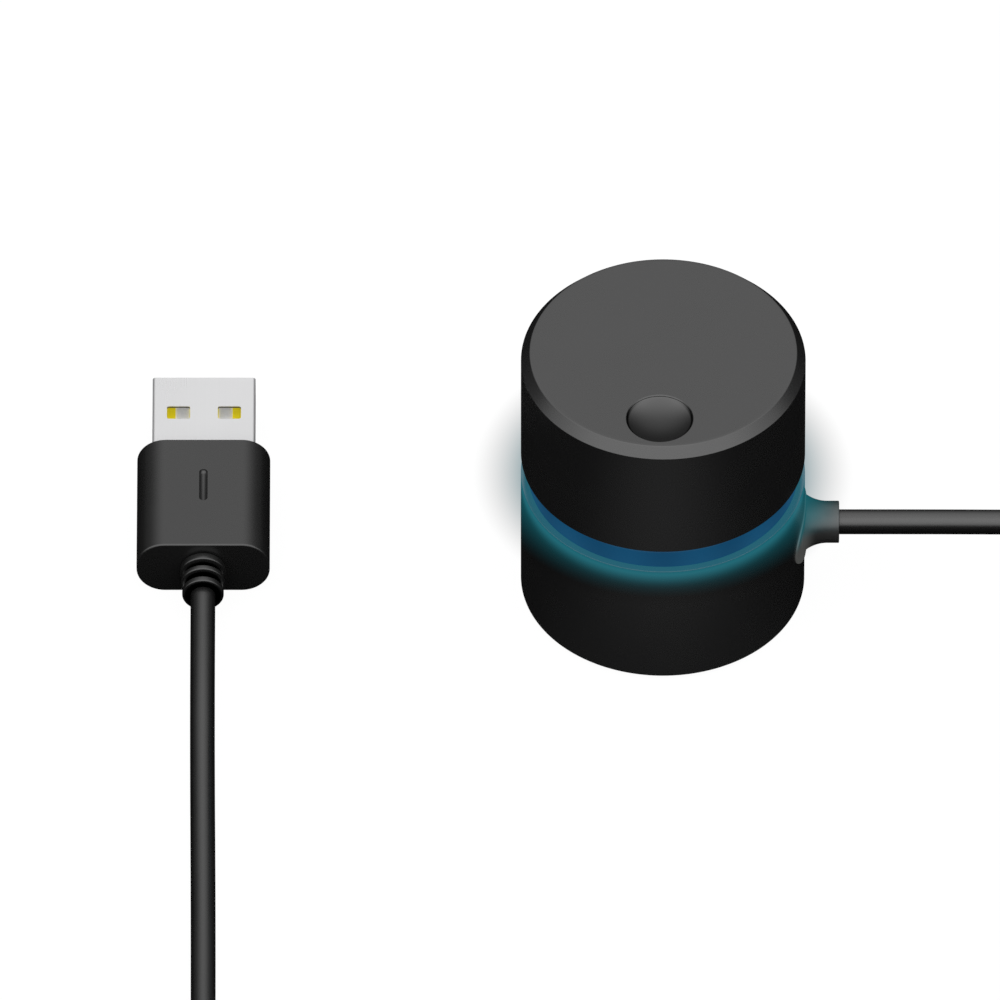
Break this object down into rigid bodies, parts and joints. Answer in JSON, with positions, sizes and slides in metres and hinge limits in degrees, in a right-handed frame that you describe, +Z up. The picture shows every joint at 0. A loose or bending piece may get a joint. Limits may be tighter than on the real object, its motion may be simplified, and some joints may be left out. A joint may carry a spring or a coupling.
{
  "type": "usb volume knob",
  "caption": "Round desk volume knob that turns without end and presses, on a lit weighted base, with a cord, a tied coil and a USB-A plug.",
  "frame": {"origin": "centre of the rubber foot's lower face, on the desk", "axes": "+Z up along the knob's axis, +X out along the cord's exit, -Y towards the user, who sees the finger dimple nearest; the plug lies on the desk at -X with its tip towards +Y"},
  "size_m": [0.1241, 0.1563, 0.037],
  "materials": {
    "anodised_black": "black anodised, fine bead-blasted satin",
    "hub_plastic": "moulded",
    "frame_plastic": "moulded",
    "case_plastic": "moulded",
    "white_plastic": "moulded",
    "light_guide": "translucent, lit from inside",
    "steel": "plain",
    "nickel_brass": "nickel plated",
    "screw_steel": "zinc plated",
    "board_green": "solder mask",
    "lamp": "clear lens",
    "chip_black": "moulded package",
    "part_tan": "ceramic",
    "wire_red": "insulation",
    "wire_white": "insulation",
    "wire_green": "insulation",
    "wire_black": "insulation",
    "cord_black": "soft matt",
    "relief_grey": "soft matt",
    "foot_rubber": "matt",
    "tie_fabric": "woven",
    "shell_nickel": "nickel plated",
    "contact_gold": "gold plated"
  },
  "bodies": {
    "base": {"encoder_bushing": "nickel_brass", "encoder_case": "case_plastic", "encoder_pins": "nickel_brass", "detent_spring": "steel", "switch_dome": "steel", "encoder_washer": "steel", "encoder_nut": "nickel_brass", "light_ring": "light_guide", "chassis": "frame_plastic", "main_board": "board_green", "leds": "lamp", "controller_chip": "chip_black", "board_parts": "part_tan", "cable_socket": "white_plastic", "cable_housing": "white_plastic", "wire_red": "wire_red", "wire_white": "wire_white", "wire_green": "wire_green", "wire_black": "wire_black", "board_screws": "screw_steel", "base_shell": "anodised_black", "bottom_cover": "frame_plastic", "foot_pad": "foot_rubber", "base_weight": "steel", "cover_screws": "screw_steel", "strain_relief": "relief_grey", "cord_knob_run": "cord_black", "cord_plug_run": "cord_black", "cord_coil": "cord_black", "cord_tie": "tie_fabric", "plug_overmould": "cord_black", "plug_shell": "shell_nickel", "plug_insulator": "white_plastic", "plug_contacts": "contact_gold"},
    "rotor": {"encoder_rotor": "hub_plastic"},
    "knob": {"knob_cap": "anodised_black", "knob_hub": "hub_plastic", "hub_screws": "screw_steel", "encoder_shaft": "nickel_brass"}
  },
  "joints": [
    {"name": "knob_turn", "type": "hinge", "parent": "base", "child": "rotor", "pos_m": [0, 0, 0.0205], "axis": [0, 0, 1], "continuous": true},
    {"name": "knob_press", "type": "slide", "parent": "rotor", "child": "knob", "axis": [0, 0, 1], "range_m": [-0.0005, 0], "stiffness_N_per_m": 2000, "springref_m": 0.002, "deforming": ["switch_dome"]}
  ]
}
